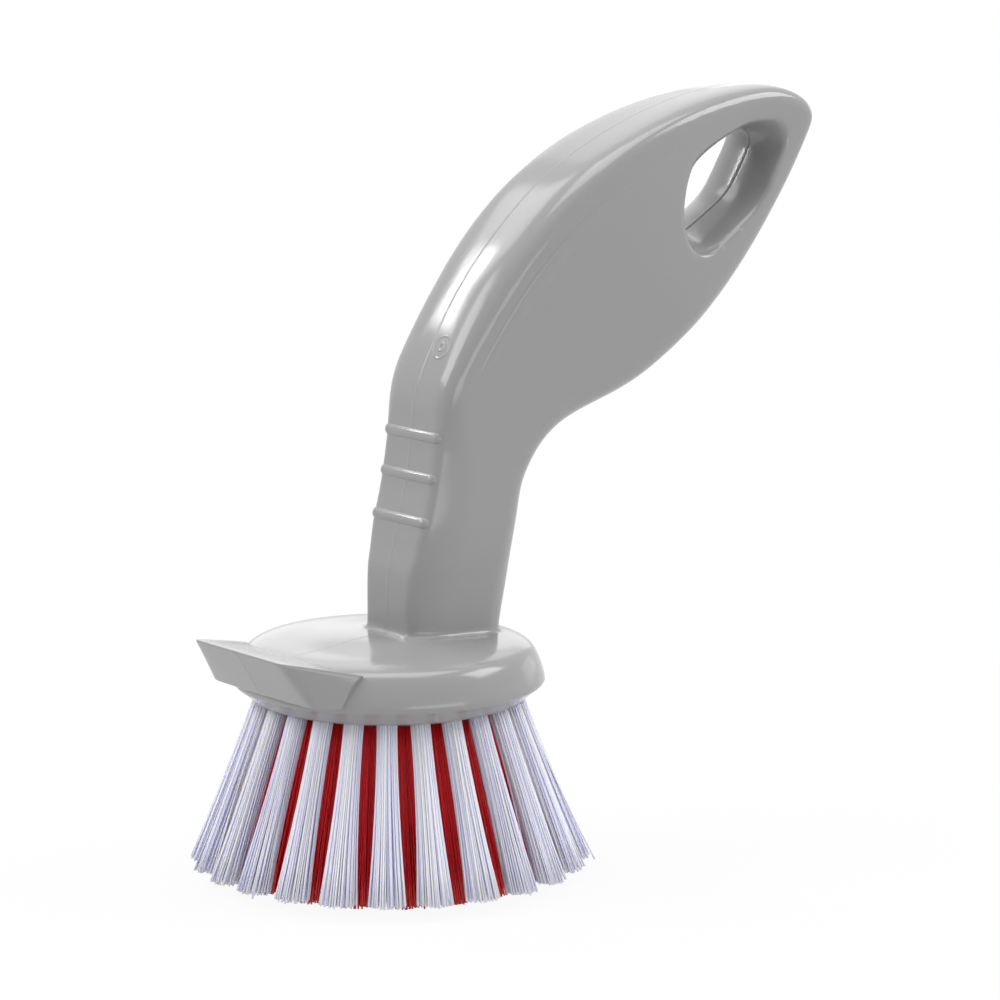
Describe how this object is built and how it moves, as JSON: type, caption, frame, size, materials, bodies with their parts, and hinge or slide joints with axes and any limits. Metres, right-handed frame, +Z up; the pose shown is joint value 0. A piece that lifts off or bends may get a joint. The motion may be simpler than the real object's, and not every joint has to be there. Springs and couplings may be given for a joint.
{
  "type": "hand brush",
  "caption": "Dish brush with a round domed head, a scraper lip, a curved flat-sided handle with a hang hole, and splayed white and red bristle tufts.",
  "frame": {"origin": "centre of the bounding box's base, in the plane of the inner bristles' trimmed ends", "axes": "+Z up from the bristle ends to the handle, -X towards the scraper, +X towards the handle's tail, and Y across the brush, whose plane of symmetry is y = 0"},
  "size_m": [0.15, 0.0814, 0.1597],
  "materials": {
    "grey_plastic": "glossy moulded",
    "white_bristle": "soft sheen",
    "red_bristle": "soft sheen"
  },
  "bodies": {
    "root": {"brush_body": "grey_plastic", "tuft_inner_01": "red_bristle", "tuft_inner_02": "red_bristle", "tuft_inner_03": "red_bristle", "tuft_inner_04": "red_bristle", "tuft_inner_05": "red_bristle", "tuft_inner_06": "red_bristle", "tuft_inner_07": "red_bristle", "tuft_inner_08": "red_bristle", "tuft_inner_09": "red_bristle", "tuft_inner_10": "red_bristle", "tuft_inner_11": "red_bristle", "tuft_inner_12": "red_bristle", "tuft_inner_13": "red_bristle", "tuft_inner_14": "red_bristle", "tuft_inner_15": "red_bristle", "tuft_inner_16": "red_bristle", "tuft_inner_17": "red_bristle", "tuft_inner_18": "red_bristle", "tuft_outer_01": "white_bristle", "tuft_outer_02": "white_bristle", "tuft_outer_03": "white_bristle", "tuft_outer_04": "white_bristle", "tuft_outer_05": "white_bristle", "tuft_outer_06": "white_bristle", "tuft_outer_07": "white_bristle", "tuft_outer_08": "white_bristle", "tuft_outer_09": "white_bristle", "tuft_outer_10": "white_bristle", "tuft_outer_11": "white_bristle", "tuft_outer_12": "white_bristle", "tuft_outer_13": "white_bristle", "tuft_outer_14": "white_bristle", "tuft_outer_15": "white_bristle", "tuft_outer_16": "white_bristle", "tuft_outer_17": "white_bristle", "tuft_outer_18": "white_bristle", "tuft_outer_19": "white_bristle", "tuft_outer_20": "white_bristle", "tuft_outer_21": "white_bristle", "tuft_outer_22": "white_bristle", "tuft_outer_23": "white_bristle", "tuft_outer_24": "white_bristle"}
  },
  "joints": []
}
